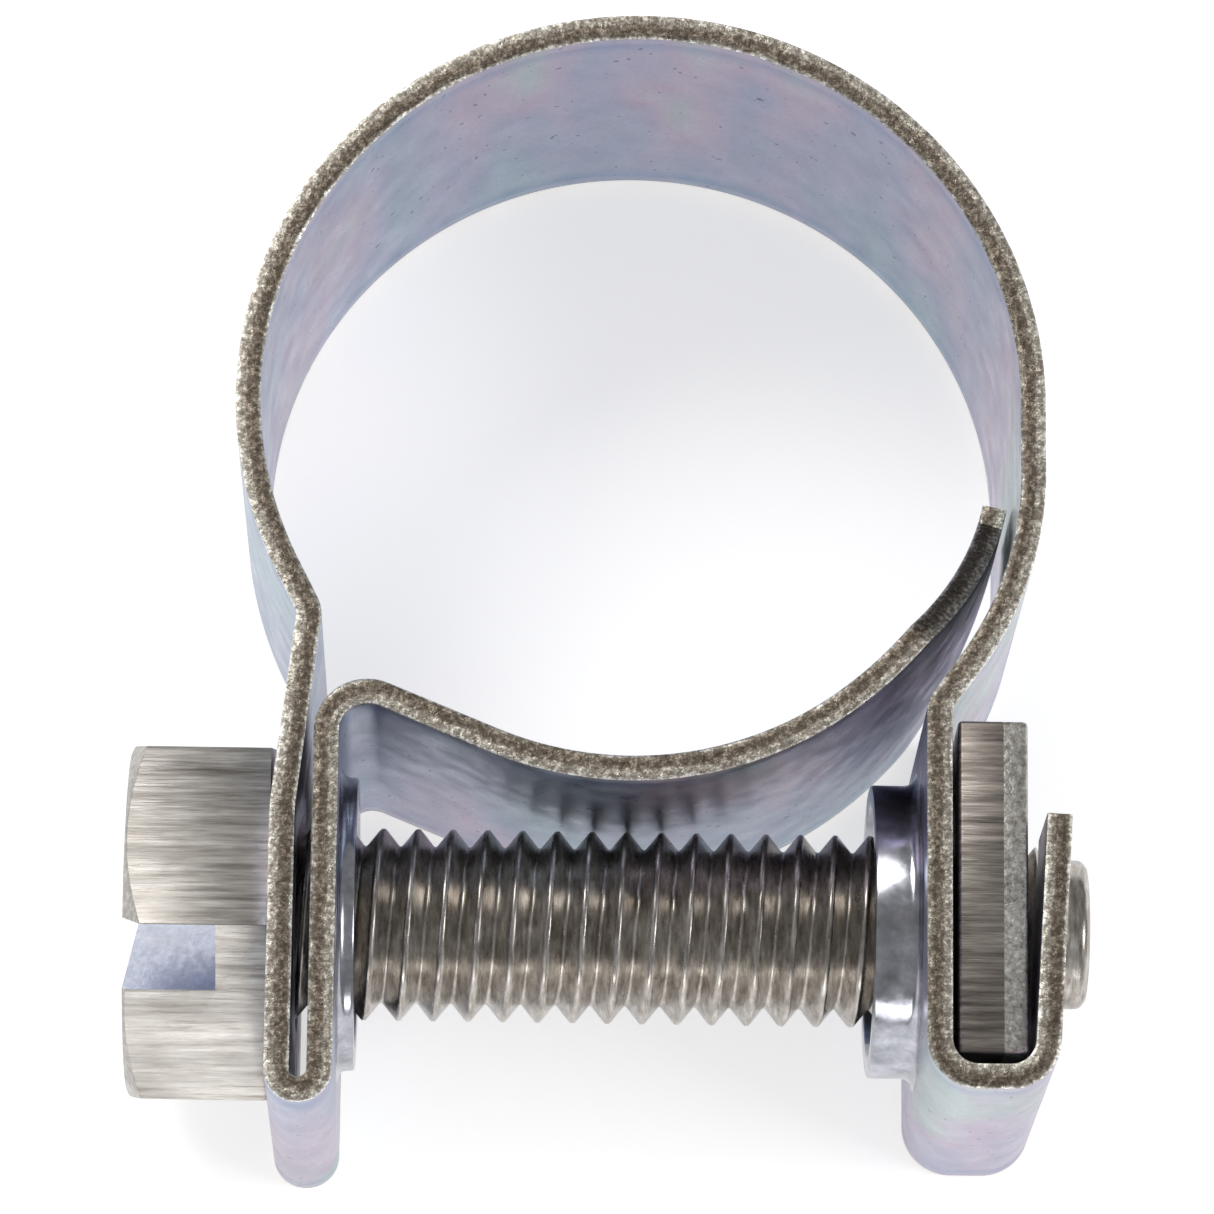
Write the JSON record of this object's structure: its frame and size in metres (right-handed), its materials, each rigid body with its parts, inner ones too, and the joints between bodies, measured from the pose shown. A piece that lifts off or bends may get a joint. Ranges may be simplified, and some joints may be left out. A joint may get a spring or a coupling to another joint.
{
  "type": "hose clamp",
  "caption": "Small hose clamp: a folded sheet-steel strip forming a ring and two ears, drawn together by a slotted hexagon screw and a plate nut.",
  "frame": {"origin": "centre of the ring, half way across the strip's width", "axes": "+Z along the hose, +Y from the ears towards the crown of the ring, +X from the screw's head towards the nut"},
  "size_m": [0.0193, 0.0225, 0.009],
  "materials": {
    "band": "zinc plated, faint blue passivation",
    "screw": "zinc plated",
    "nut": "zinc plated, blanked edges"
  },
  "bodies": {
    "head_ear": {"head_ear": "band"},
    "tongue_1": {"tongue_1": "band"},
    "tongue_2": {"tongue_2": "band"},
    "ring_1": {"ring_1": "band"},
    "ring_2": {"ring_2": "band"},
    "ring_3": {"ring_3": "band"},
    "ring_4": {"ring_4": "band"},
    "ring_5": {"ring_5": "band"},
    "ring_6": {"ring_6": "band"},
    "nut_ear": {"nut_ear": "band", "plate_nut": "nut"},
    "screw": {"screw": "screw"}
  },
  "joints": [
    {"name": "screw_turn", "type": "hinge", "parent": "head_ear", "child": "screw", "pos_m": [0, -0.0098, 0], "axis": [1, 0, 0], "range_deg": [0, 3240]},
    {"name": "flex_ring_1", "type": "hinge", "parent": "head_ear", "child": "ring_1", "pos_m": [-0.00657, -0.00433, 0], "axis": [0, 0, 1], "range_deg": [-0.4, 18.42]},
    {"name": "flex_ring_2", "type": "hinge", "parent": "ring_1", "child": "ring_2", "pos_m": [-0.00782, -0.00014, 0], "axis": [0, 0, 1], "range_deg": [-3.66, 0.4]},
    {"name": "flex_ring_3", "type": "hinge", "parent": "ring_2", "child": "ring_3", "pos_m": [-0.00553, 0.00553, 0], "axis": [0, 0, 1], "range_deg": [-9.18, 0.4]},
    {"name": "flex_ring_4", "type": "hinge", "parent": "ring_3", "child": "ring_4", "pos_m": [-0.00027, 0.00782, 0], "axis": [0, 0, 1], "range_deg": [-14.07, 0.4]},
    {"name": "flex_ring_5", "type": "hinge", "parent": "ring_4", "child": "ring_5", "pos_m": [0.00503, 0.00599, 0], "axis": [0, 0, 1], "range_deg": [-4.09, 0.4]},
    {"name": "flex_ring_6", "type": "hinge", "parent": "ring_5", "child": "ring_6", "pos_m": [0.0078, 0.00055, 0], "axis": [0, 0, 1], "range_deg": [-5.96, 0.4]},
    {"name": "flex_nut_ear", "type": "hinge", "parent": "ring_6", "child": "nut_ear", "pos_m": [0.00606, -0.00606, 0], "axis": [0, 0, 1], "range_deg": [-0.4, 17.34]},
    {"name": "flex_tongue_1", "type": "hinge", "parent": "head_ear", "child": "tongue_1", "pos_m": [-0.00469, -0.0063, 0], "axis": [0, 0, 1], "range_deg": [-0.4, 34.64]},
    {"name": "flex_tongue_2", "type": "hinge", "parent": "tongue_1", "child": "tongue_2", "pos_m": [0.00381, -0.00638, 0], "axis": [0, 0, 1], "range_deg": [-0.4, 10.24]}
  ],
  "couplings": [
    {"joint": "flex_ring_1", "follows": "screw_turn", "ratio": 0.0055615},
    {"joint": "flex_ring_2", "follows": "screw_turn", "ratio": -0.0010071},
    {"joint": "flex_ring_3", "follows": "screw_turn", "ratio": -0.002709},
    {"joint": "flex_ring_4", "follows": "screw_turn", "ratio": -0.0042178},
    {"joint": "flex_ring_5", "follows": "screw_turn", "ratio": -0.0011399},
    {"joint": "flex_ring_6", "follows": "screw_turn", "ratio": -0.0017166},
    {"joint": "flex_nut_ear", "follows": "screw_turn", "ratio": 0.0052289},
    {"joint": "flex_tongue_1", "follows": "screw_turn", "ratio": 0.010569},
    {"joint": "flex_tongue_2", "follows": "screw_turn", "ratio": 0.0030368}
  ]
}
